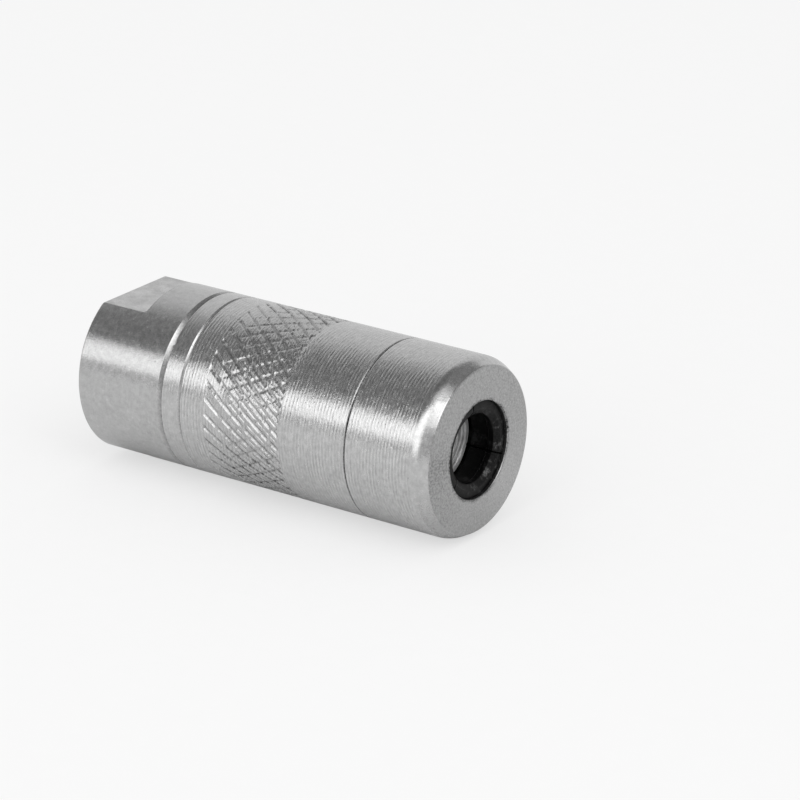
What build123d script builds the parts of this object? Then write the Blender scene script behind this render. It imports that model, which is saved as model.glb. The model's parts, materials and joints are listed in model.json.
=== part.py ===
from build123d import *
from math import cos, radians, sin, sqrt, tan
import os

# Grease coupler: a turned barrel in three screwed pieces, with a spring-loaded piston that holds
# three jaws against a cone in the nose, and a ball check valve at the inlet.
# Millimetres. X runs along the axis from the inlet face (X = 0) to the nose, Z is up.
# Every turned piece is an outline of (x, radius) points revolved about X.

# Barrel
barrel_diameter = 15.0
collar_length = 8.86  # inlet body, the part that shows
sleeve_length = 18.53
cap_length = 7.87  # nose cap, the part that shows
edge_break = 0.2  # inlet end
seam_break = 0.1  # sharp edges beside the seams
collar_chamfer_length = 0.42
collar_chamfer_depth = 0.3
sleeve_wall = 1.6
sleeve_front_wall = 0.8  # around the nose cap's thread
cap_spigot_wall = 0.78

# Wrench flats
across_flats = 12.7
flat_length = 4.7

# Inlet, tapped 1/8-27 NPT: the wall stands at the thread's crests
inlet_bore_radius = 4.37
inlet_bore_depth = 7.6
inlet_mouth_width = 0.83  # countersink, beyond the bore
inlet_mouth_depth = 0.45
drill_point_angle = 118.0

# Check valve
passage_radius = 0.9
passage_length = 1.5
seat_half_angle = 45.0
chamber_radius = 2.3
chamber_length = 3.8
check_ball_radius = 3.175 / 2
ball_seat_clearance = 0.03
check_wire_diameter = 0.3
check_coil_radius = 1.0
check_coil_pitch = 0.62
retainer_ledge = 0.5  # that it is pressed against, beyond the chamber
retainer_thickness = 0.6
retainer_hole_radius = 0.6
retainer_port_radius = 0.4
retainer_port_circle = 1.8
retainer_port_count = 6

# Screwed joints between the barrel pieces
spigot_length = 8.54
cap_thread_length = 3.8
thread_clearance = 0.02
thread_end_gap = 0.1

# Ring groove turned in the sleeve
groove_offset = 1.87  # from the sleeve's rear face
groove_width = 0.3
groove_depth = 0.12

# Nose
mouth_radius = 4.05
mouth_land = 0.3
mouth_break = 0.05
nose_chamfer_length = 1.1
nose_chamfer_depth = 0.6
jaw_cone_half_angle = 25.0

# Travel of the piston, and of the jaws along the axis
piston_travel = 1.4

# Jaws
jaw_count = 3
first_jaw_angle = 53.0  # from +Z towards +Y
jaw_kerf = 0.1
jaw_recess = 0.3
jaw_length = 5.96
jaw_skirt_clearance = 0.15  # from the cap's bore when the jaws are open
jaw_skirt_wall = 0.85  # around the spreader
jaw_cone_clearance = 0.04
jaw_seat_clearance = 0.05
lip_radius = 2.9
lip_depth = 0.32  # of the lead-in, behind the jaws' front face
lead_in_width = 0.5
lip_land = 0.45
lip_height = 0.4  # from the pocket
pocket_ramp = 0.4
boss_clearance = 0.15
boss_end_clearance = 0.4
spreader_length = 1.1
spreader_thickness = 0.65
spreader_clearance = 0.1
spreader_chamfer = 0.2

# Piston
piston_recess = 3.4  # of its front, behind the nose face
boss_chamfer = 0.06
flange_thickness = 1.4
flange_clearance = 0.1
cylinder_radius = 3.0
piston_clearance = 0.05
piston_passage_radius = 0.9
tail_chamfer = 0.3
tail_end_gap = 0.2  # left in front of the valve retainer at full travel
cylinder_end_gap = 0.9  # left behind the spring washer at full travel

# Piston seals
seal_cover = 2.2  # of the cylinder, in front of the seals at rest
seal_groove_depth = 0.72
seal_groove_width = 1.45
seal_clearance = 0.02
backup_ring_width = 0.5

# Packing that seals on the fitting's tip
boss_wall = 0.8  # around the packing
packing_length = 1.9
packing_fit = 0.02
crown_wall = 0.3  # around the packing's mouth
packing_mouth_width = 0.55  # of its cone, from the hole
packing_mouth_depth = 0.6
packing_crown_height = 0.36
crown_clearance = 0.1
packing_ring_thickness = 0.66
packing_ring_width = 1.05
packing_ring_chamfer = 0.06

# Main spring and its washer
washer_thickness = 0.7
washer_rim_clearance = 0.2
washer_bore_clearance = 0.1
spring_wire_diameter = 0.8
spring_rim_clearance = 0.55  # from the sleeve's bore
spring_bore_clearance = 0.35  # from the cylinder
spring_coil_pitch = 1.58
spring_end_clearance = 0.02

# Radii that follow
cone_slope = tan(radians(jaw_cone_half_angle))
barrel_radius = barrel_diameter / 2
sleeve_bore_radius = barrel_radius - sleeve_wall
spigot_radius = sleeve_bore_radius - thread_clearance
cap_thread_radius = barrel_radius - sleeve_front_wall
cap_spigot_radius = cap_thread_radius - thread_clearance
cap_bore_radius = cap_spigot_radius - cap_spigot_wall
spring_coil_radius = sleeve_bore_radius - spring_rim_clearance - spring_wire_diameter / 2
cylinder_outer_radius = spring_coil_radius - spring_wire_diameter / 2 - spring_bore_clearance
tail_radius = cylinder_radius - piston_clearance
flange_radius = cap_bore_radius - flange_clearance
jaw_skirt_radius = cap_bore_radius - piston_travel * cone_slope - jaw_skirt_clearance
spreader_recess_radius = jaw_skirt_radius - jaw_skirt_wall
spreader_radius = spreader_recess_radius - spreader_clearance
boss_radius = spreader_radius - spreader_thickness
boss_bore_radius = boss_radius + boss_clearance
packing_radius = boss_radius - boss_wall
packing_ring_hole_radius = packing_radius - packing_ring_width
crown_radius = packing_ring_hole_radius - crown_clearance
packing_mouth_radius = crown_radius - crown_wall
packing_hole_radius = packing_mouth_radius - packing_mouth_width
retainer_radius = chamber_radius + retainer_ledge

# Places along the axis, from the inlet
sleeve_rear = collar_length
cap_rear = sleeve_rear + sleeve_length
nose_face = cap_rear + cap_length
drill_point_length = (inlet_bore_radius - passage_radius) / tan(radians(drill_point_angle / 2))
passage_rear = inlet_bore_depth + drill_point_length
seat_rear = passage_rear + passage_length
seat_length = (chamber_radius - passage_radius) / tan(radians(seat_half_angle))
retainer_rear = seat_rear + seat_length + chamber_length
cylinder_rear = retainer_rear + retainer_thickness
spigot_front = sleeve_rear + spigot_length

# Places along the axis, back from the nose
mouth_rear = nose_face - mouth_land
jaw_front = nose_face - jaw_recess
jaw_rear = jaw_front - jaw_length
flange_front = jaw_rear - jaw_seat_clearance
flange_rear = flange_front - flange_thickness
washer_rear = flange_rear - washer_thickness
cylinder_front = washer_rear - piston_travel - cylinder_end_gap
piston_front = nose_face - piston_recess
tail_rear = cylinder_rear + piston_travel + tail_end_gap


def turned(*outline, mode=Mode.ADD):
    """Turns an outline of (x, radius) points about the X axis, in the part being built."""
    with BuildSketch(Plane.XZ) as section:
        with BuildLine():
            Polyline(*outline, close=True)
        make_face()
    revolve(section.sketch, axis=Axis.X, mode=mode)


def coil(rear, front, coil_radius, wire_diameter, pitch):
    """Winds a spring about X with open ends, ground flat at rear and front."""
    with BuildLine() as path:
        Helix(pitch, front - rear, coil_radius, center=(rear, 0, 0), direction=(1, 0, 0))
    with BuildSketch(Plane(path.line @ 0, z_dir=path.line % 0)) as wire:
        Circle(wire_diameter / 2)
    sweep(wire.sketch, path=path.line, is_frenet=True)
    split(bisect_by=Plane.YZ.offset(rear), keep=Keep.TOP)
    split(bisect_by=Plane.YZ.offset(front), keep=Keep.BOTTOM)


os.makedirs("parts", exist_ok=True)

# Inlet body: collar with wrench flats, male thread for the sleeve, and the piston's cylinder.
# Its bore is the tapped inlet, the drill point, the passage, the valve seat and chamber, and the cylinder.
with BuildPart() as inlet_body:
    turned(
        (0, inlet_bore_radius + inlet_mouth_width),
        (0, barrel_radius - edge_break),
        (edge_break, barrel_radius),
        (collar_length - collar_chamfer_length, barrel_radius),
        (collar_length, barrel_radius - collar_chamfer_depth),
        (collar_length, spigot_radius),
        (spigot_front, spigot_radius),
        (spigot_front, cylinder_outer_radius),
        (cylinder_front, cylinder_outer_radius),
        (cylinder_front, cylinder_radius),
        (cylinder_rear, cylinder_radius),
        (cylinder_rear, retainer_radius),
        (retainer_rear, retainer_radius),
        (retainer_rear, chamber_radius),
        (seat_rear + seat_length, chamber_radius),
        (seat_rear, passage_radius),
        (passage_rear, passage_radius),
        (inlet_bore_depth, inlet_bore_radius),
        (inlet_mouth_depth, inlet_bore_radius),
    )
    with BuildSketch(Plane.YZ) as flats:
        with GridLocations(0, across_flats + barrel_radius, 1, 2):
            Rectangle(barrel_diameter, barrel_radius)
    extrude(flats.sketch, amount=flat_length, mode=Mode.SUBTRACT)
inlet_body.part.label = "inlet_body"
export_step(inlet_body.part, "parts/inlet_body.step")

# Sleeve: the knurled barrel, bored through, with a wider thread in front for the nose cap.
with BuildPart() as sleeve:
    cap_thread_rear = cap_rear - cap_thread_length - thread_end_gap
    groove_middle = sleeve_rear + groove_offset
    turned(
        (sleeve_rear, sleeve_bore_radius),
        (sleeve_rear, barrel_radius - seam_break),
        (sleeve_rear + seam_break, barrel_radius),
        (groove_middle - groove_width / 2, barrel_radius),
        (groove_middle, barrel_radius - groove_depth),
        (groove_middle + groove_width / 2, barrel_radius),
        (cap_rear - seam_break, barrel_radius),
        (cap_rear, barrel_radius - seam_break),
        (cap_rear, cap_thread_radius),
        (cap_thread_rear, cap_thread_radius),
        (cap_thread_rear, sleeve_bore_radius),
    )
sleeve.part.label = "sleeve"
export_step(sleeve.part, "parts/sleeve.step")

# Nose cap: screws into the sleeve. Its cone closes the jaws, and its mouth takes the fitting.
with BuildPart() as nose_cap:
    spigot_rear = cap_rear - cap_thread_length
    cone_length = (cap_bore_radius - mouth_radius) / cone_slope
    turned(
        (spigot_rear, cap_bore_radius),
        (spigot_rear, cap_spigot_radius),
        (cap_rear, cap_spigot_radius),
        (cap_rear, barrel_radius - seam_break),
        (cap_rear + seam_break, barrel_radius),
        (nose_face - nose_chamfer_length, barrel_radius),
        (nose_face, barrel_radius - nose_chamfer_depth),
        (nose_face, mouth_radius + mouth_break),
        (nose_face - mouth_break, mouth_radius),
        (mouth_rear, mouth_radius),
        (mouth_rear - cone_length, cap_bore_radius),
    )
nose_cap.part.label = "nose_cap"
export_step(nose_cap.part, "parts/nose_cap.step")

# Check ball, held on the seat's cone.
seat_apex = seat_rear - passage_radius / tan(radians(seat_half_angle))
ball_middle = seat_apex + (check_ball_radius + ball_seat_clearance) / sin(radians(seat_half_angle))
with BuildPart() as check_ball:
    with Locations((ball_middle, 0, 0)):
        Sphere(check_ball_radius)
check_ball.part.label = "check_ball"
export_step(check_ball.part, "parts/check_ball.step")

# Check spring, from the ball to the retainer. Its first coil rides on the ball's shoulder.
with BuildPart() as check_spring:
    coil_inner_radius = check_coil_radius - check_wire_diameter / 2
    ball_shoulder = ball_middle + sqrt(check_ball_radius**2 - coil_inner_radius**2)
    coil(
        ball_shoulder + ball_seat_clearance,
        retainer_rear - spring_end_clearance,
        check_coil_radius,
        check_wire_diameter,
        check_coil_pitch,
    )
check_spring.part.label = "check_spring"
export_step(check_spring.part, "parts/check_spring.step")

# Check retainer: a disc pressed in behind the spring, with ports for the grease.
with BuildPart() as check_retainer:
    with BuildSketch(Plane.YZ.offset(retainer_rear)) as disc:
        Circle(retainer_radius)
        Circle(retainer_hole_radius, mode=Mode.SUBTRACT)
        with PolarLocations(retainer_port_circle, retainer_port_count):
            Circle(retainer_port_radius, mode=Mode.SUBTRACT)
    extrude(disc.sketch, amount=retainer_thickness)
check_retainer.part.label = "check_retainer"
export_step(check_retainer.part, "parts/check_retainer.step")

# Piston: tail with the seal groove, flange under the jaws, and a boss that holds the packing.
seal_groove_front = cylinder_front - seal_cover
seal_groove_rear = seal_groove_front - seal_groove_width
seal_groove_radius = tail_radius - seal_groove_depth
packing_front = piston_front - packing_ring_thickness
packing_rear = packing_front - packing_length
with BuildPart() as piston:
    turned(
        (tail_rear, piston_passage_radius),
        (tail_rear, tail_radius - tail_chamfer),
        (tail_rear + tail_chamfer, tail_radius),
        (seal_groove_rear, tail_radius),
        (seal_groove_rear, seal_groove_radius),
        (seal_groove_front, seal_groove_radius),
        (seal_groove_front, tail_radius),
        (flange_rear, tail_radius),
        (flange_rear, flange_radius),
        (flange_front, flange_radius),
        (flange_front, boss_radius),
        (piston_front - boss_chamfer, boss_radius),
        (piston_front, boss_radius - boss_chamfer),
        (piston_front, packing_radius),
        (packing_rear, packing_radius),
        (packing_rear, piston_passage_radius),
    )
piston.part.label = "piston"
export_step(piston.part, "parts/piston.step")

# Piston seal: an O-ring, and the back-up ring on its low-pressure side.
seal_section_radius = (cylinder_radius - seal_groove_radius) / 2 - seal_clearance
with BuildPart() as piston_o_ring:
    seal_middle_radius = (cylinder_radius + seal_groove_radius) / 2
    seal_middle = seal_groove_rear + (seal_groove_width - backup_ring_width) / 2
    with BuildSketch(Plane.XZ) as seal_section:
        with Locations((seal_middle, seal_middle_radius)):
            Circle(seal_section_radius)
    revolve(seal_section.sketch, axis=Axis.X)
piston_o_ring.part.label = "piston_o_ring"
export_step(piston_o_ring.part, "parts/piston_o_ring.step")

with BuildPart() as piston_backup_ring:
    backup_rear = seal_groove_front - backup_ring_width
    turned(
        (backup_rear, seal_groove_radius + seal_clearance),
        (backup_rear, tail_radius),
        (seal_groove_front - seal_clearance, tail_radius),
        (seal_groove_front - seal_clearance, seal_groove_radius + seal_clearance),
    )
piston_backup_ring.part.label = "piston_backup_ring"
export_step(piston_backup_ring.part, "parts/piston_backup_ring.step")

# Packing: the rubber tip seal, with a cone that takes the fitting's nose.
with BuildPart() as packing:
    crown_front = packing_front + packing_crown_height
    turned(
        (packing_rear, packing_hole_radius),
        (packing_rear, packing_radius - packing_fit),
        (packing_front, packing_radius - packing_fit),
        (packing_front, crown_radius),
        (crown_front, crown_radius),
        (crown_front, packing_mouth_radius),
        (crown_front - packing_mouth_depth, packing_hole_radius),
    )
packing.part.label = "packing"
export_step(packing.part, "parts/packing.step")

# Packing ring: pressed into the piston flush with its front, over the packing.
with BuildPart() as packing_ring:
    turned(
        (packing_front, packing_ring_hole_radius),
        (packing_front, packing_radius),
        (piston_front, packing_radius),
        (piston_front, packing_ring_hole_radius + packing_ring_chamfer),
        (piston_front - packing_ring_chamfer, packing_ring_hole_radius),
    )
packing_ring.part.label = "packing_ring"
export_step(packing_ring.part, "parts/packing_ring.step")

# Spring washer, under the piston's flange.
with BuildPart() as spring_washer:
    with BuildSketch(Plane.YZ.offset(washer_rear)) as washer_face:
        Circle(cap_bore_radius - washer_rim_clearance)
        Circle(tail_radius + washer_bore_clearance, mode=Mode.SUBTRACT)
    extrude(washer_face.sketch, amount=washer_thickness)
spring_washer.part.label = "spring_washer"
export_step(spring_washer.part, "parts/spring_washer.step")

# Main spring, around the cylinder, from the inlet body's shoulder to the washer.
with BuildPart() as main_spring:
    coil(
        spigot_front,
        washer_rear - spring_end_clearance,
        spring_coil_radius,
        spring_wire_diameter,
        spring_coil_pitch,
    )
main_spring.part.label = "main_spring"
export_step(main_spring.part, "parts/main_spring.step")

# Jaw spreader: a rubber ring around the foot of the piston's boss, inside the jaws.
with BuildPart() as jaw_spreader:
    with BuildSketch(Plane.YZ.offset(flange_front)) as spreader_face:
        Circle(spreader_radius)
        Circle(boss_radius, mode=Mode.SUBTRACT)
    extrude(spreader_face.sketch, amount=spreader_length)
    front_edge = jaw_spreader.faces().sort_by(Axis.X)[-1].outer_wire().edges()
    chamfer(front_edge, length=spreader_chamfer)
jaw_spreader.part.label = "jaw_spreader"
export_step(jaw_spreader.part, "parts/jaw_spreader.step")

# Jaws: one turned ring sawn into equal segments. The outside fits the cap's cone.
# Inside, from the front: lead-in, lip that grips behind the fitting's head, pocket for the head,
# bore around the piston's boss, and a recess over the spreader.
cone_setback = jaw_cone_clearance / cos(radians(jaw_cone_half_angle))
jaw_front_radius = mouth_radius - cone_setback + (mouth_rear - jaw_front) * cone_slope
jaw_cone_length = (jaw_skirt_radius - jaw_front_radius) / cone_slope
lip_front = jaw_front - lip_depth
lip_rear = lip_front - lip_land
pocket_front = lip_rear - pocket_ramp
pocket_radius = lip_radius + lip_height
boss_bore_front = piston_front + boss_end_clearance
spreader_recess_front = flange_front + spreader_length + spreader_clearance
recess_ramp = spreader_recess_radius - boss_bore_radius
jaw_pitch_angle = 360 / jaw_count
for jaw_index in range(jaw_count):
    jaw_angle = first_jaw_angle + jaw_index * jaw_pitch_angle
    with BuildPart() as jaw:
        turned(
            (jaw_rear, spreader_recess_radius),
            (jaw_rear, jaw_skirt_radius),
            (jaw_front - jaw_cone_length, jaw_skirt_radius),
            (jaw_front, jaw_front_radius),
            (jaw_front, lip_radius + lead_in_width),
            (lip_front, lip_radius),
            (lip_rear, lip_radius),
            (pocket_front, pocket_radius),
            (boss_bore_front, pocket_radius),
            (boss_bore_front, boss_bore_radius),
            (spreader_recess_front + recess_ramp, boss_bore_radius),
            (spreader_recess_front, spreader_recess_radius),
        )
        with BuildSketch(Plane.YZ.offset(jaw_rear)) as segment:
            half_angle = jaw_pitch_angle / 2
            corner = jaw_kerf / 2 / sin(radians(half_angle))
            arm = 2 * barrel_diameter
            middle = 90 - jaw_angle
            with BuildLine():
                apex = (corner * cos(radians(middle)), corner * sin(radians(middle)))
                left = PolarLine(apex, arm, middle + half_angle)
                right = PolarLine(apex, arm, middle - half_angle)
                Line(left @ 1, right @ 1)
            make_face()
        extrude(segment.sketch, amount=jaw_length, mode=Mode.INTERSECT)
    jaw.part.label = f"jaw_{jaw_index + 1}"
    export_step(jaw.part, f"parts/jaw_{jaw_index + 1}.step")

jaw_slide = piston_travel / cos(radians(jaw_cone_half_angle))
print("overall length", round(nose_face, 3))
print("piston travel", piston_travel, "jaw slide", round(jaw_slide, 4))
print("ball middle", round(ball_middle, 4), "lip from", round(lip_rear, 4), "to", round(lip_front, 4))
print("spring seat", round(spigot_front, 4), "retainer rear", round(retainer_rear, 4))
print("piston front", round(piston_front, 4), "jaw rear", round(jaw_rear, 4))
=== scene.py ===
import json
import math

import bmesh
import bpy
import numpy as np
from mathutils import Matrix, Vector

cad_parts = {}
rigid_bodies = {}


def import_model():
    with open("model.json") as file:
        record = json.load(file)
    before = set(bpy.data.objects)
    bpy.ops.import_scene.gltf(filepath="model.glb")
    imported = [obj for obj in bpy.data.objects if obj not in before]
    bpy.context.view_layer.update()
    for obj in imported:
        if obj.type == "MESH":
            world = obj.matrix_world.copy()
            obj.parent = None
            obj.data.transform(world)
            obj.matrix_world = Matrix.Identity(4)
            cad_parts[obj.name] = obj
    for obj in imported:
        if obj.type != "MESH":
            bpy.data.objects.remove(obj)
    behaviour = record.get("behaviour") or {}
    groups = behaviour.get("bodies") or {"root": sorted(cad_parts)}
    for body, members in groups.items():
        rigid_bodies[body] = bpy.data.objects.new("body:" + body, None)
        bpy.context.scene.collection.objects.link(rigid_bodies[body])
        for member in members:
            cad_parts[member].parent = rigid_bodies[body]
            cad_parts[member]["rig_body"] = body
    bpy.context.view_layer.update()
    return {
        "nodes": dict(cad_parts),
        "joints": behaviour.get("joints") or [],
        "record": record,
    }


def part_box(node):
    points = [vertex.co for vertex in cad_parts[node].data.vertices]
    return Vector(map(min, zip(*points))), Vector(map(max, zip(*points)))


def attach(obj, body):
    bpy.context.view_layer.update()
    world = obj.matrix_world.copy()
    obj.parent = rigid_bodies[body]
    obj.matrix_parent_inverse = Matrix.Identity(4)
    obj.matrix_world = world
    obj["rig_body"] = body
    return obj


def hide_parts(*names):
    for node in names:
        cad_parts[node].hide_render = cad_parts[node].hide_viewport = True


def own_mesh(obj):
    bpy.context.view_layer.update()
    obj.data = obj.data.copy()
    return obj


# Grease coupler, lying on its side on a pale floor. Metres, in the frame of the solids: X runs along
# the axis from the inlet to the nose, Z is up. Angles round the axis run from +Z towards -Y.

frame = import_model()
nodes = frame["nodes"]
mounts = {mount["name"]: mount for mount in frame["record"]["mounts"]}

MM = 0.001
TURN = 2 * math.pi

# Sizes that follow from the frame
INLET_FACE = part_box("inlet_body")[0].x
SEAM_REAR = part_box("sleeve")[0].x
SEAM_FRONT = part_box("sleeve")[1].x
NOSE_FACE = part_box("nose_cap")[1].x
BARREL_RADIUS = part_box("sleeve")[1].y
FLAT_HEIGHT = mounts["wrench_flat_top"]["pos_m"][2]
FLAT_LENGTH = 2 * mounts["wrench_flat_top"]["pos_m"][0]
THREAD_CREST = mounts["inlet_thread"]["dims"]["r_mm"] * MM
THREAD_END = INLET_FACE + mounts["inlet_thread"]["dims"]["length_mm"] * MM
LIP_FRONT = mounts["fitting_grip"]["pos_m"][0] + mounts["fitting_grip"]["dims"]["length_mm"] * MM / 2
DISC_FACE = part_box("piston")[1].x

# Measures for all: a hair's breadth, the rounding left in a place, and what clears a surface
HAIR = 0.01 * MM
ROUNDING = 1e-6
CLEAR = 0.1 * MM
OUTSIDE = BARREL_RADIUS + CLEAR

# How a solid's section is cut: just off its corners, with places as whole numbers
CUT_ASIDE = 1e-7
CUT_KEYS = 1e8
SECTION_SNAP = 0.015 * MM

# Edges and facets; a rounding takes up to EDGE_SHARE of the runs beside it
EDGE_RADIUS = 0.06 * MM
SLEEVE_EDGE = 0.03 * MM
EDGE_STEPS = 4
EDGE_SHARE = 0.45
SMOOTH_CORNER = math.radians(9)
SEGMENTS = 240
SMALL_SEGMENTS = 192
LIP_STEP = 0.03 * MM

# Knurl: two families of strokes that cross, and a faint one between the first. Each has its arc per
# length, then in degrees and mm the angle and x of one stroke, its depth and width, and its rear end
# with the run-in there.
KNURL_REAR = 13.05 * MM
KNURL_FRONT = 20.85 * MM
KNURL_RUN_OUT = 0.2 * MM
KNURL_STARTS = 38
KNURL_STEP = 0.078 * MM
STROKES = (
    dict(slope=0.705, angle=56, x=13.1, depth=0.15, width=0.4, rear=13.1, run_in=0.25),
    dict(slope=-0.54, angle=51, x=17.0, depth=0.1, width=0.27, rear=13.6, run_in=2.4),
    dict(slope=0.705, angle=60.7, x=13.1, depth=0.075, width=0.22, rear=15.2, run_in=1.6),
)

# Columns of its mesh, in half widths across a stroke; a gap wider than this share of the pitch has
# one more
STROKE_SHARES = (-1.1, -1, -0.5, 0, 0.5, 1, 1.1)
WIDEST_GAP = 1 / 9

# Uneven strokes: waves of the wheel's pressure and its nicks, by how fast they turn round the axis,
# along X and from stroke to stroke; the side where strokes are deepest; and how they start
PRESSURE_WAVES = ((5, 1700, 1), (11, -4100, 2))
NICK_WAVES = ((0, 5300, 29), (0, 3100, 17))
DEEPEST_SIDE = math.radians(95)
UNEVEN_START = 0.12 * MM
KNURL_BURR = 0.012 * MM
BURR_WIDTH = 0.05 * MM

# Pecks that the knurling wheel left: depth, front end, and patches by angle in degrees, reach in
# radians and strength
KNURL_PECK = 0.035 * MM
PECK_FRONT = 21.7 * MM
PECK_SEED = 5
PECK_LEAST = 0.04
PECK_PATCHES = ((34, math.radians(17), 1.0), (130, math.radians(16), 0.45))

# Painted shade and dirt in the knurl's strokes: the depths where they start and are full, and the side
# where they are weakest
DARKENING_START_DEPTH = 0.03 * MM
DARKENING_FULL_DEPTH = 0.085 * MM
LEAST_DARKENED_SIDE = math.radians(88)
LEAST_DARKENED_REACH = math.radians(24)

# Wrench flats: the broken rear edge, and the radius where they run out
FLAT_BREAK = 0.28 * MM
FLAT_BREAK_SLOPE = 0.7
FLAT_BREAK_STEP = 0.06 * MM
FLAT_RUN_OUT = 0.35 * MM
FLAT_RUN_OUT_STEP = 0.04 * MM
FLAT_CREASE = 0.004

# Turned surface: the pitch of the tool's marks, the size of the dashes that they break into, and
# where they are weak: behind the sleeve's groove, and from the nose's shoulder
LINE_PITCH = 0.31 * MM
DASH_WIDTH = 0.12 * MM
DASH_LENGTH = 0.55 * MM
GROOVE_REAR = SEAM_REAR + 1.5 * MM
GROOVE_FRONT = SEAM_REAR + 2.2 * MM
SHOULDER_FADE = (0.9 * MM, 0.1 * MM)

# Milled flats: the middle of the cutter's sweep, and the pitch of its marks
CUTTER_MIDDLE = (-9 * MM, 4 * MM, 0)
CUTTER_PITCH = 0.28 * MM

# Dirt and painted shade in the rear seam: below these radii of the collar and the sleeve, how far
# along X it reaches, and the inset at which it is full
COLLAR_FOOT = BARREL_RADIUS - 0.27 * MM
SLEEVE_FOOT = BARREL_RADIUS - 0.3 * MM
SEAM_DARKENING_REACH = 0.03 * MM
FULL_INSET = 0.12 * MM

# The nick in the sleeve's rear edge
CHIP_ANGLE = math.radians(48.8)
CHIP_SWEEP = math.radians(5)
CHIP_LENGTH = 0.4 * MM
CHIP_STEP = 0.1 * MM
CHIP_DEPTH = 0.16 * MM
CHIP_BURR = 0.08 * MM

# The front seam: how far its lips are worn down, how wide, and from how far below the surface
SEAM_WEAR = 0.02 * MM
SEAM_REACH = 0.13 * MM
SEAM_SKIN = 0.2 * MM

# How far the nose is rounded
NOSE_EDGE = 0.05 * MM
NOSE_SHOULDER = 1.8 * MM
NOSE_RIM = 0.34 * MM

# The mouth's worn edge: how deep along X, and how far it is opened
MOUTH_WEAR_DEPTH = 0.12 * MM
MOUTH_WEAR = 0.06 * MM

# Dirt on the nose: the smear round the mouth and its clean side, the face's stain and two sectors of
# painted light that lighten the lower face, and dirt below the shoulder, by angle in degrees, reach
# in radians and strength
SMEAR_WIDTH = 0.26 * MM
SMEAR_CLEAN = ((232, 0.5, 0.8),)
FACE_STAIN_AND_PAINTED_LIGHT = ((88, 0.3, 0.12), (137, 0.5, -0.17), (225, 0.7, -0.13))
SHOULDER_STAINS = ((132, 0.45, 0.18),)
FACE_DIRT = 0.29
FACE_DEPTH = 0.1 * MM
FACE_BAND = 0.6 * MM
FACE_STEP = 0.08 * MM

# Rings turned in the piston's bright front, and the radii over which painted light lightens it towards
# its rim
DISC_RINGS = (1.8 * MM, 2.42 * MM, 2.92 * MM)
DISC_RING_WIDTH = 0.13 * MM
DISC_RING_DEPTH = 0.085 * MM
RIM_LIGHT_RADIUS = (2.6 * MM, 3.15 * MM)

# Jaws: the saw's cut, the edges, where the face's wear starts, the side where the wear and a painted
# highlight are strongest, and the radii over which painted shade darkens the face towards its rim
JAW_COUNT = 3
JAW_KERF = 0.1 * MM
JAW_STEPS = 64
JAW_EDGE = 0.05 * MM
SAWN_EDGE = 0.04 * MM
WEAR_START = (LIP_FRONT - 0.06 * MM, LIP_FRONT + 0.03 * MM)
WEAR_AND_HIGHLIGHT_SIDE = math.radians(232)
RIM_SHADE_RADIUS = (3.3 * MM, 3.8 * MM)

# Inlet thread, 1/8-27 NPT, with a flat crest and root
THREAD_PITCH = 25.4 / 27 * MM
THREAD_DEPTH = 0.75 * MM
THREAD_FLANK = 1.12
THREAD_ROOT = 0.88
THREAD_TAPER = 1 / 32
THREAD_RUN_OUT = 1.6 * MM
THREAD_STEPS = 12
THREAD_DIRT_RADIUS = 5 * MM

# Springs: the wire, its turns, and how many are closed up at each end
MAIN_SPRING = dict(diameter=0.8 * MM, turns=6.5, closed=1.0)
CHECK_SPRING = dict(diameter=0.3 * MM, turns=4.5, closed=0.9)
COIL_STEPS = 40
WIRE_SIDES = 16

# The check valve's retainer: its rim's rounding, its middle hole and its ring of ports
RETAINER_RIM = 0.04 * MM
RETAINER_HOLE = 0.6 * MM
PORT_COUNT = 6
PORT_RADIUS = 0.4 * MM
PORT_CIRCLE = 1.8 * MM

# Camera: the photograph's viewing angle
CAMERA_PLACE = Vector((188.5, -225.5, 110.6)) * MM
CAMERA_LOOK = Vector((-0.5413, 0.7583, -0.3634))
CAMERA_UP = Vector((-0.2108, 0.2958, 0.9316))
LENS = 166.9

# Floor and surroundings
FLOOR_Z = -BARREL_RADIUS
FLOOR_SIZE = 6.0
WORLD_LEVEL = 0.8

# Softboxes: place from the object to the camera's right, ahead and up, then width, height and radiance
SOFTBOXES = (
    ("softbox_left", (-1.059, -0.364, 0.41), 0.467, 0.42, 1.06),
    ("softbox_front", (-0.665, -0.792, 0.609), 0.688, 1.249, 1.36),
    ("softbox_right", (0.36, -0.57, 0.60), 0.449, 0.62, 1.25),
    ("softbox_above", (0.06, -0.365, 0.597), 0.44, 0.62, 0.72),
)

# Cards that only reflections show: a ceiling of two shades, and walls
CEILING = 0.8
CEILING_REAR = -0.4
CEILING_SPLIT = 0.1
CEILING_FRONTS = (0.11, 0.67, 1.15)
LEFT_WALL = -1.3
RIGHT_WALL = 1.3
BACK_WALL = -1.2
FRONT_WALL = 1.1
LOW_WALL_END = -0.12


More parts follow.
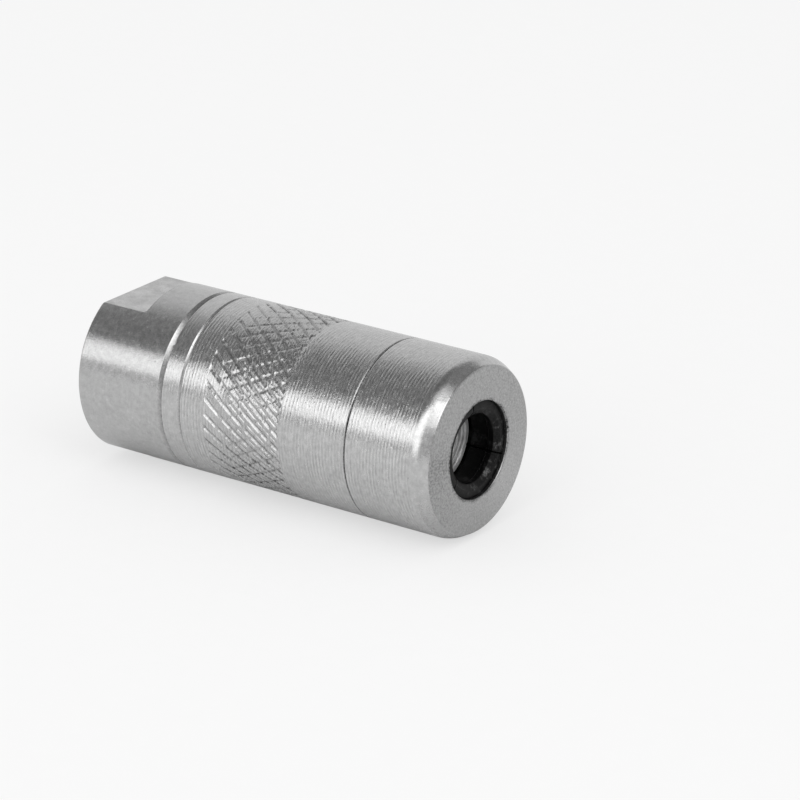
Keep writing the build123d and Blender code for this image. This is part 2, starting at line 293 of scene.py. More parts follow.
def section(node, angle=TURN / 4):
    """The corners of a turned solid as (x, radius), in order round its section at this angle."""
    mesh = nodes[node].data
    points = np.zeros(len(mesh.vertices) * 3)
    mesh.vertices.foreach_get("co", points)
    x, y, z = points.reshape(-1, 3).T
    out = -y * math.sin(angle) + z * math.cos(angle)
    aside = y * math.cos(angle) + z * math.sin(angle) - CUT_ASIDE
    joined = {}
    for face in mesh.polygons:
        ring = list(face.vertices)
        cut = []
        for a, b in zip(ring, ring[1:] + ring[:1]):
            if (aside[a] > 0) != (aside[b] > 0):
                share = aside[a] / (aside[a] - aside[b])
                cut.append((x[a] + share * (x[b] - x[a]), out[a] + share * (out[b] - out[a])))
        if len(cut) == 2 and min(cut[0][1], cut[1][1]) > 0:
            keys = [tuple(round(value * CUT_KEYS) for value in point) for point in cut]
            if keys[0] != keys[1]:
                joined.setdefault(keys[0], []).append(keys[1])
                joined.setdefault(keys[1], []).append(keys[0])
    loop = without_straights([np.array(key) / CUT_KEYS for key in in_order(joined)])
    rings = np.stack([x, np.hypot(y, z)], 1)
    corners = np.array([rings[np.hypot(*(rings - point).T).argmin()] for point in loop])
    onward = np.roll(corners, -1, 0)
    area = np.sum(corners[:, 0] * onward[:, 1] - corners[:, 1] * onward[:, 0])
    return corners if area > 0 else corners[::-1]


def in_order(joined):
    """The places of a closed loop in order, from what each is joined to."""
    start = min(joined)
    walk = []
    before, here = None, start
    while not walk or here != start:
        walk.append(here)
        onward = [key for key in joined[here] if key != before]
        before, here = here, onward[0]
    return walk


def without_straights(loop):
    """A loop without the points that lie on a straight run."""
    corner = 0
    while corner < len(loop):
        before, here, after = loop[corner - 1], loop[corner], loop[(corner + 1) % len(loop)]
        run = after - before
        away = abs(run[0] * (here - before)[1] - run[1] * (here - before)[0]) / np.hypot(*run)
        if away < SECTION_SNAP:
            loop.pop(corner)
            corner = max(corner - 1, 0)
        else:
            corner += 1
    return loop


def eased(outline, radius=EDGE_RADIUS, steps=EDGE_STEPS, rounder=()):
    """Rounds each corner of an outline, within what the runs beside it leave. rounder gives a
    larger radius at some places (x, radius)."""
    made = []
    for before, here, after in zip(np.roll(outline, 1, 0), outline, np.roll(outline, -1, 0)):
        own_radius = radius
        for place, larger in rounder:
            if np.hypot(*(here - place)) < SECTION_SNAP:
                own_radius = larger
        back, onward = before - here, after - here
        reach = min(np.hypot(*back), np.hypot(*onward)) * EDGE_SHARE
        back, onward = back / np.hypot(*back), onward / np.hypot(*onward)
        half = math.acos(np.clip(back @ onward, -1, 1)) / 2
        if math.pi - 2 * half < SMOOTH_CORNER:
            made.append(here)
            continue
        arc_radius = min(own_radius, reach * math.tan(half))
        middle = here + (back + onward) / np.hypot(*(back + onward)) * arc_radius / math.sin(half)
        first = here + back * arc_radius / math.tan(half) - middle
        last = here + onward * arc_radius / math.tan(half) - middle
        sweep = math.atan2(first[0] * last[1] - first[1] * last[0], first @ last)
        arc_steps = steps if own_radius == radius else 3 * steps
        aside = np.array([-first[1], first[0]])
        for turn in np.linspace(0, sweep, arc_steps + 1):
            made.append(middle + first * math.cos(turn) + aside * math.sin(turn))
    return np.array(made)


def divided(outline, low, high, step, bore=False):
    """Adds points to the outer runs of an outline, or to its bore's, where they pass between two
    corners (x, radius) of a box."""
    made = []
    for here, after in zip(outline, np.roll(outline, -1, 0)):
        made.append(here)
        run = after - here
        if (run[0] > ROUNDING * MM) != bore:
            continue
        first, last = 0.0, 1.0
        for axis in (0, 1):
            if abs(run[axis]) > ROUNDING * MM:
                ends = [(side[axis] - here[axis]) / run[axis] for side in (low, high)]
                first, last = max(first, min(ends)), min(last, max(ends))
            elif not low[axis] <= here[axis] <= high[axis]:
                last = -1.0
        if last <= first:
            continue
        count = max(1, round((last - first) * np.hypot(*run) / step))
        shares = np.linspace(first, last, count + 1)
        made += [here + share * run for share in shares if 1e-4 < share < 1 - 1e-4]
    return np.array(made)


def even_angles(count=SEGMENTS):
    return np.arange(count) * TURN / count


def lathe(node, outline, angles, move=None, mill=None, dirt_and_shade=None, twist=None):
    """Turns an outline about X into a closed mesh that stands for a solid. move gives the radius at
    (x, radius, angle), mill changes the points, and dirt_and_shade gives how far dirt and painted
    shade darken the surface there.
    twist gives how far the mesh's columns have turned at x."""
    rows, columns = len(outline), len(angles)
    x = np.repeat(outline[:, :1], columns, 1)
    radius = np.repeat(outline[:, 1:], columns, 1)
    angle = np.repeat(angles[None, :], rows, 0)
    if twist:
        angle = (angle + twist(x)) % TURN
    moved = move(x, radius, angle) if move else radius
    points = np.stack([x, -moved * np.sin(angle), moved * np.cos(angle)], -1)
    if mill:
        points = mill(points)
    index = np.arange(rows * columns).reshape(rows, columns)
    down, across = np.roll(index, -1, 0), np.roll(index, -1, 1)
    faces = np.stack([index, down, np.roll(down, -1, 1), across], -1).reshape(-1, 4)
    piece = quad_piece(node, points.reshape(-1, 3), faces)
    lengths = np.hypot(*(np.roll(outline, -1, 0) - outline).T)
    along = np.concatenate([[0], np.cumsum(lengths)]) / lengths.sum()
    turned = np.concatenate([angles, [angles[0] + TURN]]) / TURN
    row, column = np.divmod(np.arange(rows * columns), columns)
    corners_u = turned[column[:, None] + [0, 0, 1, 1]]
    corners_v = along[row[:, None] + [0, 1, 1, 0]]
    layer = piece.data.uv_layers.new(name="OFBake")
    layer.data.foreach_set("uv", np.stack([corners_u, corners_v], -1).astype(np.float32).ravel())
    if dirt_and_shade:
        dirt_shade_share = piece.data.attributes.new("dirt_and_shade", "FLOAT", "POINT")
        dirt_shade_share.data.foreach_set("value", dirt_and_shade(x, radius, moved, angle).astype(np.float32).ravel())
    return piece


def quad_piece(node, points, faces):
    """A smooth-shaded mesh of four-sided faces that stands for a solid."""
    mesh = bpy.data.meshes.new(f"{node}_detail")
    mesh.from_pydata(points.tolist(), [], faces.tolist())
    mesh.update()
    corner = points[faces]
    wide = np.cross(corner[:, 2] - corner[:, 0], corner[:, 3] - corner[:, 1])
    normals = np.zeros_like(points)
    for column in range(faces.shape[1]):
        np.add.at(normals, faces[:, column], wide)
    normals /= np.maximum(np.linalg.norm(normals, axis=1, keepdims=True), 1e-20)
    mesh.polygons.foreach_set("use_smooth", np.ones(len(faces), bool))
    mesh.normals_split_custom_set_from_vertices(normals.tolist())
    return placed(node, mesh)


def capped_piece(node, points, walls, caps, smooth_caps):
    """Walls of four-sided faces closed by caps, as a piece that stands for a solid."""
    mesh = bpy.data.meshes.new(f"{node}_detail")
    faces = walls.reshape(-1, 4).tolist()
    smooth = [True] * len(faces) + [smooth_caps] * len(caps)
    mesh.from_pydata(points.reshape(-1, 3).tolist(), [], faces + [cap.tolist() for cap in caps])
    mesh.polygons.foreach_set("use_smooth", np.array(smooth))
    return placed(node, mesh)


def new_object(name, data):
    made = bpy.data.objects.new(name, data)
    bpy.context.scene.collection.objects.link(made)
    return made


def placed(node, mesh):
    """The mesh as a piece that replaces a solid and rides on its body."""
    piece = new_object(f"{node}_detail", mesh)
    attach(piece, nodes[node]["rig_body"])
    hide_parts(node)
    return piece


def ramp(value, low, high):
    """0 below low, 1 above high and a smooth rise between."""
    share = np.clip((value - low) / (high - low), 0, 1)
    return share * share * (3 - 2 * share)


def bell(value, centre, reach):
    """1 at the centre, falling off smoothly on both sides."""
    return np.exp(-((value - centre) / reach) ** 2)


def patches(angle, places):
    """Soft patches round the axis, each by its angle in degrees, its reach and its strength."""
    return sum(strength * bell(angle, math.radians(at), reach) for at, reach, strength in places)


def node_of(tree, kind, inputs=None, **settings):
    """Adds a shader node. inputs maps a socket's name or number to a value or another socket."""
    made = tree.nodes.new("ShaderNode" + kind)
    for name, value in settings.items():
        setattr(made, name, value)
    for key, value in (inputs or {}).items():
        if isinstance(value, bpy.types.NodeSocket):
            tree.links.new(value, made.inputs[key])
        else:
            made.inputs[key].default_value = value
    return made


def sum_of(tree, operation, first, second=0.0, third=0.0):
    """The result of a Math node."""
    return node_of(tree, "Math", {0: first, 1: second, 2: third}, operation=operation).outputs[0]


def product(tree, first, second):
    return sum_of(tree, "MULTIPLY", first, second)


def added(tree, base, *layers):
    """A base, with shares of other values added to it."""
    for value, share in layers:
        base = sum_of(tree, "MULTIPLY_ADD", value, share, base)
    return base


def centred(tree, value):
    """A value of 0 to 1, as -0.5 to 0.5."""
    return sum_of(tree, "SUBTRACT", value, 0.5)


def span(tree, value, low, high, to_low=0.0, to_high=1.0):
    """The result of a smooth Map Range node."""
    inputs = {"Value": value, "From Min": low, "From Max": high, "To Min": to_low, "To Max": to_high}
    return node_of(tree, "MapRange", inputs, interpolation_type="SMOOTHSTEP").outputs["Result"]


def noise(tree, vector, size=1.0, detail=2.0, roughness=0.5):
    """A noise texture's value, with marks of this size, on any coordinates."""
    inputs = {"Vector": vector, "Scale": 1 / size, "Detail": detail, "Roughness": roughness}
    return node_of(tree, "TexNoise", inputs).outputs[0]


def cells(tree, vector, size):
    """The distance to the nearest of some points that lie about this far apart."""
    return node_of(tree, "TexVoronoi", {"Vector": vector, "Scale": 1 / size}).outputs["Distance"]


def blended(tree, share, first, second):
    """A mix of two colours."""
    inputs = {"Factor": share, 6: first, 7: second}
    return node_of(tree, "Mix", inputs, data_type="RGBA").outputs[2]


def grey(value, warmth=0.0):
    return (value * (1 + warmth), value, value * (1 - warmth), 1)


def new_material(name):
    """An empty material and its tree."""
    made = bpy.data.materials.new(name)
    made.use_nodes = True
    made.node_tree.nodes.clear()
    return made, made.node_tree


def shown(tree, shader, output="OutputMaterial"):
    """Puts a shader on the tree's output."""
    node_of(tree, output, {"Surface": shader.outputs[0]})


def principled(made, inputs):
    """The material, with a Principled shader of these inputs."""
    shown(made.node_tree, node_of(made.node_tree, "BsdfPrincipled", inputs))
    return made


def object_place(tree):
    return node_of(tree, "TexCoord").outputs["Object"]


def turned_coordinates(tree):
    """The place, x, the distance from the axis, the run of both, and the direction from the axis."""
    place = object_place(tree)
    part = node_of(tree, "SeparateXYZ", {0: place})
    across = node_of(tree, "CombineXYZ", {1: part.outputs[1], 2: part.outputs[2]}).outputs[0]
    radius = node_of(tree, "VectorMath", {0: across}, operation="LENGTH").outputs["Value"]
    around = node_of(tree, "VectorMath", {0: across}, operation="NORMALIZE").outputs["Vector"]
    way = node_of(tree, "SeparateXYZ", {0: around}).outputs
    run = sum_of(tree, "ADD", part.outputs[0], radius)
    return dict(place=place, x=part.outputs[0], radius=radius, run=run, y_way=way[1], z_way=way[2])


def stretched(tree, at, width, turns):
    """Coordinates for lines round the axis: this wide across, and slow along them."""
    inputs = {
        0: product(tree, at["run"], 1 / width),
        1: product(tree, at["y_way"], turns),
        2: product(tree, at["z_way"], turns),
    }
    return node_of(tree, "CombineXYZ", inputs).outputs[0]


def turned_tangent(tree):
    """The direction round the axis."""
    return node_of(tree, "Tangent", direction_type="RADIAL", axis="X").outputs[0]


def bumped(tree, height):
    """A normal from a height in metres."""
    return node_of(tree, "Bump", {"Strength": 1.0, "Distance": 1.0, "Height": height}).outputs[0]


def plated_steel(name, base=0.53, line_height=2e-5, line_shade=0.7, fade=None):
    """Turned steel with a zinc plating: turning marks broken into dashes with painted shade in their
    grooves, fine grain, and dirt and painted shade. fade gives two places along X and how strong
    the marks are before and after them."""
    made, tree = new_material(name)
    at = turned_coordinates(tree)
    dash_turns = BARREL_RADIUS / DASH_LENGTH
    dashes = noise(tree, stretched(tree, at, DASH_WIDTH, dash_turns), roughness=0.6)
    swell = noise(tree, stretched(tree, at, width=1.1 * MM, turns=dash_turns / 4), detail=1.0)
    passes = sum_of(tree, "SINE", product(tree, at["run"], TURN / LINE_PITCH))
    passes = product(tree, passes, span(tree, swell, 0.3, 0.7, 0.04, 0.18))
    lines = added(tree, passes, (centred(tree, dashes), 0.8))
    if fade:
        lines = product(tree, lines, span(tree, at["x"], *fade))
    grain = centred(tree, noise(tree, at["place"], size=0.11 * MM, roughness=0.7))
    flecks = centred(tree, noise(tree, at["place"], size=0.18 * MM, detail=3.0, roughness=0.75))
    skin = centred(tree, noise(tree, at["place"], size=0.42 * MM, detail=3.0))
    burrs = span(tree, cells(tree, at["place"], size=0.28 * MM), 0.0, 0.24, 1.0, 0.0)
    specks = span(tree, cells(tree, at["place"], size=1.3 * MM), 0.02, 0.06, 0.5, 0.0)
    # How far dirt, painted shade in seams, hollows and bores, and painted light on the nose's lower face
    # change the surface
    dirt_shade_share = node_of(tree, "Attribute", attribute_name="dirt_and_shade").outputs["Fac"]

    grain_height = added(tree, 5e-6, (dirt_shade_share, 2e-5))
    layers = (lines, line_height), (grain, grain_height), (burrs, line_height * 0.45), (skin, 3.6e-6)
    # The marks' share of this shade is painted shade in their grooves; grain and skin give the plating's
    # own tone
    shade = added(tree, 0.5, (lines, line_shade), (grain, 0.4), (skin, 0.45))
    colour = blended(tree, span(tree, shade, 0.1, 0.9), grey(base * 0.72), grey(base * 1.28))
    colour = blended(tree, specks, colour, grey(0.14))
    mottle = added(tree, 0.0, (flecks, 0.9), (skin, 0.35))
    # Dirt and painted shade darken the colour in patches
    patchy = product(tree, dirt_shade_share, span(tree, mottle, -0.14, 0.16, 0.5, 1.65))
    return principled(made, {
        "Base Color": blended(tree, patchy, colour, grey(0.05)),
        "Metallic": 1.0,
        "Roughness": added(tree, span(tree, shade, 0.2, 0.8, 0.19, 0.29), (dirt_shade_share, 0.3)),
        "Anisotropic": 0.5,
        "Anisotropic Rotation": 0.25,
        "Tangent": turned_tangent(tree),
        "Normal": bumped(tree, added(tree, 0.0, *layers)),
    })


def milled_steel(name):
    """Plated steel under a milled face: a dull mottled skin with faint curved cutter marks."""
    made, tree = new_material(name)
    place = object_place(tree)
    sweep = node_of(tree, "VectorMath", {0: place, 1: CUTTER_MIDDLE}, operation="DISTANCE")
    marks = sum_of(tree, "SINE", product(tree, sweep.outputs["Value"], TURN / CUTTER_PITCH))
    wander = noise(tree, place, size=0.8 * MM)
    grain = noise(tree, place, size=0.13 * MM, roughness=0.7)
    mottle = noise(tree, place, size=1.1 * MM, detail=3.0, roughness=0.6)
    layers = (marks, product(tree, wander, 1.6e-6)), (grain, 5e-6), (mottle, 1.2e-5)
    return principled(made, {
        "Base Color": blended(tree, span(tree, mottle, 0.3, 0.7), grey(0.4704), grey(0.616)),
        "Metallic": 1.0,
        "Roughness": span(tree, grain, 0.3, 0.7, 0.25, 0.38),
        "Normal": bumped(tree, added(tree, 0.0, *layers)),
    })


def bright_steel(name):
    """Bare turned steel: satin lines round the axis, under a mottled grease film, with painted light
    that lightens it towards the rim.
    """
    made, tree = new_material(name)
    at = turned_coordinates(tree)
    lines = noise(tree, stretched(tree, at, width=0.1 * MM, turns=1.6), roughness=0.6)
    film_and_rim_light = noise(tree, at["place"], size=0.8 * MM)
    # Painted light: the front lightens towards its rim
    film_and_rim_light = sum_of(tree, "ADD", film_and_rim_light, span(tree, at["radius"], *RIM_LIGHT_RADIUS, -0.22, 0.4))
    shade = added(tree, film_and_rim_light, (centred(tree, lines), 2.6))
    return principled(made, {
        "Base Color": blended(tree, span(tree, shade, 0.2, 0.8), grey(0.363), grey(0.7722)),
        "Metallic": 0.7,
        "Roughness": span(tree, lines, 0.3, 0.7, 0.4, 0.52),
        "Anisotropic": 0.7,
        "Anisotropic Rotation": 0.25,
        "Tangent": turned_tangent(tree),
        "Normal": bumped(tree, product(tree, lines, 9e-5)),
    })


def black_oxide(name):
    """Hardened steel with an oiled black oxide: near black in the bore, worn and smeared in front, with
    a painted highlight in the wear on one side and painted shade at the face's rim.
    """
    made, tree = new_material(name)
    at = turned_coordinates(tree)
    lines = noise(tree, stretched(tree, at, width=0.14 * MM, turns=1.5))
    smear = noise(tree, at["place"], size=MM, detail=3.0, roughness=0.65)
    grain = noise(tree, at["place"], size=0.11 * MM, roughness=0.7)
    front = span(tree, at["x"], *WEAR_START)
    worn = product(tree, span(tree, smear, 0.5, 0.7), span(tree, grain, 0.35, 0.65, 0.25, 1.0))
    oiled = blended(tree, span(tree, grain, 0.3, 0.7), grey(0.003), grey(0.012))
    # Wear and a painted highlight, both strongest on the side at 232 degrees
    ways = (at["y_way"], -math.sin(WEAR_AND_HIGHLIGHT_SIDE)), (at["z_way"], math.cos(WEAR_AND_HIGHLIGHT_SIDE))
    worn = product(tree, worn, span(tree, added(tree, 0.0, *ways), 0.1, 1.0, 0.35, 1.6))
    face = blended(tree, worn, oiled, grey(0.13))
    # Painted shade darkens the face towards its outer rim
    face = blended(tree, span(tree, at["radius"], *RIM_SHADE_RADIUS, 0.0, 0.7), face, grey(0.002))
    bore = blended(tree, worn, grey(0.003), grey(0.03))
    layers = (lines, 1e-5), (grain, 1.2e-5), (smear, 1.5e-5)
    return principled(made, {
        "Base Color": blended(tree, front, bore, face),
        "Metallic": 0.15,
        "Specular IOR Level": 0.12,
        "Roughness": span(tree, smear, 0.3, 0.7, 0.3, 0.55),
        "Normal": bumped(tree, added(tree, 0.0, *layers)),
    })


def wire_steel(name, base, roughness):
    """Drawn and oiled spring wire, or a polished ball."""
    made, tree = new_material(name)
    place = object_place(tree)
    stain = noise(tree, place, size=1.3 * MM, detail=3.0, roughness=0.6)
    scratches = noise(tree, place, size=0.09 * MM, detail=1.0)
    return principled(made, {
        "Base Color": blended(tree, span(tree, stain, 0.4, 0.7), grey(base), grey(base * 0.7, 0.04)),
        "Metallic": 1.0,
        "Roughness": span(tree, stain, 0.3, 0.7, roughness, roughness + 0.1),
        "Normal": bumped(tree, product(tree, scratches, 1.5e-6)),
    })


def moulded(name, colour, roughness, grain_height):
    """Moulded rubber or plastic with a fine grain."""
    made, tree = new_material(name)
    place = object_place(tree)
    grain = noise(tree, place, size=0.1 * MM, roughness=0.6)
    bloom = noise(tree, place, size=1.2 * MM)
    paler = tuple(min(1.0, part * 1.35 + 0.006) for part in colour[:3]) + (1,)
    return principled(made, {
        "Base Color": blended(tree, span(tree, bloom, 0.4, 0.7), colour, paler),
        "Roughness": span(tree, grain, 0.3, 0.7, roughness - 0.06, roughness + 0.06),
        "Normal": bumped(tree, product(tree, grain, grain_height)),
    })


def seen_background(tree):
    """1 for rays that see the background straight, part of that in a reflection or through glass,
    else 0."""
    path = node_of(tree, "LightPath").outputs
    indirect = sum_of(tree, "MAXIMUM", path["Is Glossy Ray"], path["Is Transmission Ray"])
    return sum_of(tree, "MAXIMUM", path["Is Camera Ray"], product(tree, indirect, 0.05))


def finished(piece, slot, *materials):
    """Gives a piece its materials. slot, the record's slot that they stand for, is not used."""
    for material in materials:
        piece.data.materials.append(material)
    return piece


# Barrel

def wrench_flats(points):
    """Cuts the two flats, with a broken rear edge and a small radius where they run out."""
    x, y, z = np.moveaxis(points, -1, 0)
    near_end = np.clip((x - (FLAT_LENGTH - FLAT_RUN_OUT)) / FLAT_RUN_OUT, 0, 1)
    height = FLAT_HEIGHT + FLAT_RUN_OUT * (1 - np.sqrt(1 - near_end ** 2))
    height -= FLAT_BREAK_SLOPE * np.clip(FLAT_BREAK - x, 0, None)
    height = np.where(x > FLAT_LENGTH + ROUNDING, np.inf, height)
    outer = np.hypot(y, z) > FLAT_HEIGHT - 2 * FLAT_BREAK
    return np.stack([x, y, np.where(outer, np.clip(z, -height, height), z)], -1)


def tapped(x, radius, angle):
    """The inlet body's radius, with the tapered thread in its bore."""
    share = ((x - INLET_FACE) / THREAD_PITCH - angle / TURN) % 1.0
    groove = np.clip(1.0 - np.abs(share - 0.5) * 2 * THREAD_FLANK, 0.0, THREAD_ROOT) / THREAD_ROOT
    root = THREAD_CREST + THREAD_DEPTH - (x - INLET_FACE) * THREAD_TAPER
    fade = 1 - ramp(x, THREAD_END - THREAD_RUN_OUT, THREAD_END)
    threaded = np.maximum(THREAD_CREST, root - THREAD_DEPTH * (1 - groove)) - THREAD_CREST
    in_bore = (np.abs(radius - THREAD_CREST) < ROUNDING) & (x < THREAD_END)
    return np.where(in_bore, THREAD_CREST + threaded * fade, radius)


def inlet_body():
    bore_box = (INLET_FACE, 0), (THREAD_END, THREAD_CREST + CLEAR)
    break_box = (INLET_FACE, BARREL_RADIUS - MM), (FLAT_BREAK, OUTSIDE)
    run_out_box = (FLAT_LENGTH - FLAT_RUN_OUT, 0), (FLAT_LENGTH, OUTSIDE)
    step_box = (FLAT_LENGTH, 0), (FLAT_LENGTH + 2 * HAIR, OUTSIDE)
    outline = eased(section("inlet_body"))
    outline = divided(outline, *bore_box, THREAD_PITCH / THREAD_STEPS, bore=True)
    outline = divided(outline, *break_box, FLAT_BREAK_STEP)
    outline = divided(outline, *run_out_box, FLAT_RUN_OUT_STEP)
    outline = divided(outline, *step_box, HAIR)
    crease = math.acos(FLAT_HEIGHT / BARREL_RADIUS)
    creases = [half + side * (crease + ease) for half in (0, math.pi) for side in (-1, 1)
               for ease in (-FLAT_CREASE, 0, FLAT_CREASE)]
    angles = np.sort(np.concatenate([even_angles(), np.array(creases) % TURN]))

    def dirt_and_shade(x, radius, moved, angle):
        in_thread = (x < THREAD_END) * (radius < THREAD_DIRT_RADIUS)
        thread = np.clip((moved - THREAD_CREST) / THREAD_DEPTH, 0, 1) * in_thread
        # Dirt and painted shade on the collar's face under the sleeve's edge, in the rear seam
        seam = bell(x, SEAM_REAR, SEAM_DARKENING_REACH) * (radius < COLLAR_FOOT)
        return np.clip(0.35 * thread + 0.9 * seam, 0, 1)

    piece = lathe("inlet_body", outline, angles, tapped, wrench_flats, dirt_and_shade)
    steel = plated_steel("plated_body", base=0.5, line_height=1.5e-6, line_shade=0.08)
    finished(piece, "zinc_plated_steel", steel, milled_steel("milled_flats"))
    piece.data.polygons.foreach_set("material_index", on_flats(piece.data).astype(int))


def on_flats(mesh):
    """Which faces of the inlet body the cutter milled."""
    middles = np.zeros(len(mesh.polygons) * 3)
    mesh.polygons.foreach_get("center", middles)
    x, _, z = middles.reshape(-1, 3).T
    return (np.abs(np.abs(z) - FLAT_HEIGHT) < HAIR) & (x < FLAT_LENGTH) & (x > FLAT_BREAK)


def stroke_columns():
    """Angles of the sleeve's columns: one along each edge, wall and bottom of the strokes that run
    with them, and some between."""
    pitch = TURN / KNURL_STARTS
    marks = []
    for family in STROKES:
        if family["slope"] == STROKES[0]["slope"]:
            half = family["width"] * MM / 2 * math.hypot(1, family["slope"]) / BARREL_RADIUS
            middle = math.radians(family["angle"] - STROKES[0]["angle"])
            shares = STROKE_SHARES[1:-1] if family["depth"] < STROKES[0]["depth"] else STROKE_SHARES
            marks += [(middle + share * half) % pitch for share in shares]
    marks.sort()
    widths = [(after - mark) % pitch for mark, after in zip(marks, marks[1:] + marks[:1])]
    marks += [mark + width / 2 for mark, width in zip(marks, widths) if width > pitch * WIDEST_GAP]
    return np.add.outer(np.arange(KNURL_STARTS) * pitch, np.sort(marks)).ravel()


def stroke_twist(x):
    """How far a stroke of the first family has turned at x, held constant outside the knurl."""
    first = STROKES[0]
    along = np.clip(x, KNURL_REAR, PECK_FRONT) - first["x"] * MM
    return math.radians(first["angle"]) + first["slope"] * along / BARREL_RADIUS


def waves(angle, x, stroke, pair):
    """The product of two waves over the knurl."""
    first, second = [np.sin(turns * angle + along * x + skip * stroke) for turns, along, skip in pair]
    return first * second


def stroke_cut(x, angle, family):
    """How deep one family of knurl strokes cuts here, and the burr beside its strokes."""
    slope, rear = family["slope"], family["rear"] * MM
    turns = (angle - math.radians(family["angle"])) / TURN
    turns -= slope * (x - family["x"] * MM) / (BARREL_RADIUS * TURN)
    share = turns * KNURL_STARTS
    stroke = np.round(share)
    away = np.abs(share - stroke) * TURN * BARREL_RADIUS / KNURL_STARTS * math.cos(math.atan(slope))
    half = family["width"] * MM / 2
    strength = 0.78 + 0.22 * waves(angle, x, stroke, PRESSURE_WAVES)
    strength *= 1 - 0.7 * ramp(waves(angle, x, stroke, NICK_WAVES), 0.5, 0.9)
    start = rear + UNEVEN_START * np.sin(7 * stroke)
    strength *= ramp(x, start, start + family["run_in"] * MM)
    strength *= 0.86 + 0.14 * ramp(np.cos(angle - DEEPEST_SIDE), 0.3, 0.85)
    strength *= 1 - ramp(x, KNURL_FRONT - KNURL_RUN_OUT, KNURL_FRONT)
    cut = family["depth"] * MM * strength * np.clip(1 - away / half, 0, 1) ** 0.85
    burr = KNURL_BURR * strength * bell(away, half, BURR_WIDTH)
    return cut, burr


def pecked(x, angle):
    """How deep the small uneven marks are that the knurling wheel left, most of them in front."""
    marks = np.random.default_rng(PECK_SEED).random(x.shape)
    marks = (marks + np.roll(marks, 1, 0) + np.roll(marks, 1, 1)) / 3
    spread = ramp(x, KNURL_REAR + MM, KNURL_FRONT - 4 * MM) * (1 - ramp(x, KNURL_FRONT, PECK_FRONT))
    return KNURL_PECK * ramp(marks, 0.35, 0.75) * spread * (PECK_LEAST + patches(angle, PECK_PATCHES))


def knurled(x, radius, angle):
    """The sleeve's radius with its knurl."""
    cuts, burrs = zip(*[stroke_cut(x, angle, family) for family in STROKES])
    cut = np.maximum.reduce(cuts)
    burr = np.maximum.reduce(burrs) * (cut < HAIR)
    outer = (radius > BARREL_RADIUS - HAIR) & (x > KNURL_REAR)
    worked = np.where(outer & (x < KNURL_FRONT), radius - KNURL_BURR - cut + burr, radius)
    return worked - pecked(x, angle) * (outer & (x < PECK_FRONT)) - seam_dip(x, radius)


def seam_dip(x, radius):
    """How far both lips of the front seam are worn down."""
    outer = radius > BARREL_RADIUS - SEAM_SKIN
    return SEAM_WEAR * np.clip(1 - np.abs(x - SEAM_FRONT) / SEAM_REACH, 0, 1) * outer


def chipped(points):
    """The nick in the sleeve's rear edge, with the burr beside it."""
    x, y, z = np.moveaxis(points, -1, 0)
    angle = np.arctan2(-y, z)
    chip = CHIP_DEPTH * ramp(angle, CHIP_ANGLE - CHIP_SWEEP, CHIP_ANGLE) * (angle < CHIP_ANGLE)
    burr = CHIP_BURR * (1 - ramp(angle, CHIP_ANGLE, CHIP_ANGLE + CHIP_SWEEP / 2)) * (angle >= CHIP_ANGLE)
    near = np.clip(1 - (x - SEAM_REAR) / CHIP_LENGTH, 0, 1) * (np.hypot(y, z) > SLEEVE_FOOT)
    return np.stack([x + (chip - burr) * near, y, z], -1)


def sleeve():
    knurl_box = (KNURL_REAR - 2 * HAIR, 0), (PECK_FRONT, OUTSIDE)
    front_lip_box = (SEAM_FRONT - SEAM_REACH, 0), (SEAM_FRONT, OUTSIDE)
    rear_lip_box = (SEAM_REAR, 0), (SEAM_REAR + CHIP_LENGTH, OUTSIDE)
    outline = eased(section("sleeve"), SLEEVE_EDGE, 2)
    outline = divided(outline, *knurl_box, KNURL_STEP)
    outline = divided(outline, *front_lip_box, LIP_STEP)
    outline = divided(outline, *rear_lip_box, CHIP_STEP)

    def dirt_and_shade(x, radius, moved, angle):
        # Painted shade and dirt: the deeper a stroke cuts, the darker
        depth = ramp(radius - moved - KNURL_BURR, DARKENING_START_DEPTH, DARKENING_FULL_DEPTH)
        # Painted shade and dirt where the surface dips below the barrel, at the seams and the groove
        inset = np.clip((BARREL_RADIUS - moved) / FULL_INSET, 0, 1) * (radius > SLEEVE_FOOT)
        inset *= np.where(x < KNURL_REAR, 0.3, 1.0)
        knurl = (x > KNURL_REAR) & (x < PECK_FRONT) & (radius > BARREL_RADIUS - HAIR)
        worked = ramp(x, KNURL_REAR, KNURL_REAR + 3 * MM) * (1 - ramp(x, KNURL_FRONT - MM, KNURL_FRONT))
        # Less of this at angles from the top round to 88 degrees, and least near 88 degrees
        left = 1 - 0.75 * bell(angle, LEAST_DARKENED_SIDE, LEAST_DARKENED_REACH)
        left *= np.where(angle < LEAST_DARKENED_SIDE, 0.42 + 0.18 * ramp(angle, 0.5, 0.9), 1.0)
        darkening = np.where(knurl, 0.06 * worked + 0.7 * depth * left, 0.9 * inset)
        # Painted shade on the faces under SLEEVE_FOOT, in the seams and the bore
        return np.clip(darkening + 0.7 * (radius < SLEEVE_FOOT), 0, 1)

    piece = lathe("sleeve", outline, stroke_columns(), knurled, chipped, dirt_and_shade, stroke_twist)
    fade = (GROOVE_REAR, GROOVE_FRONT, 0.3, 1.0)
    finished(piece, "zinc_plated_steel", plated_steel("plated_sleeve", fade=fade))


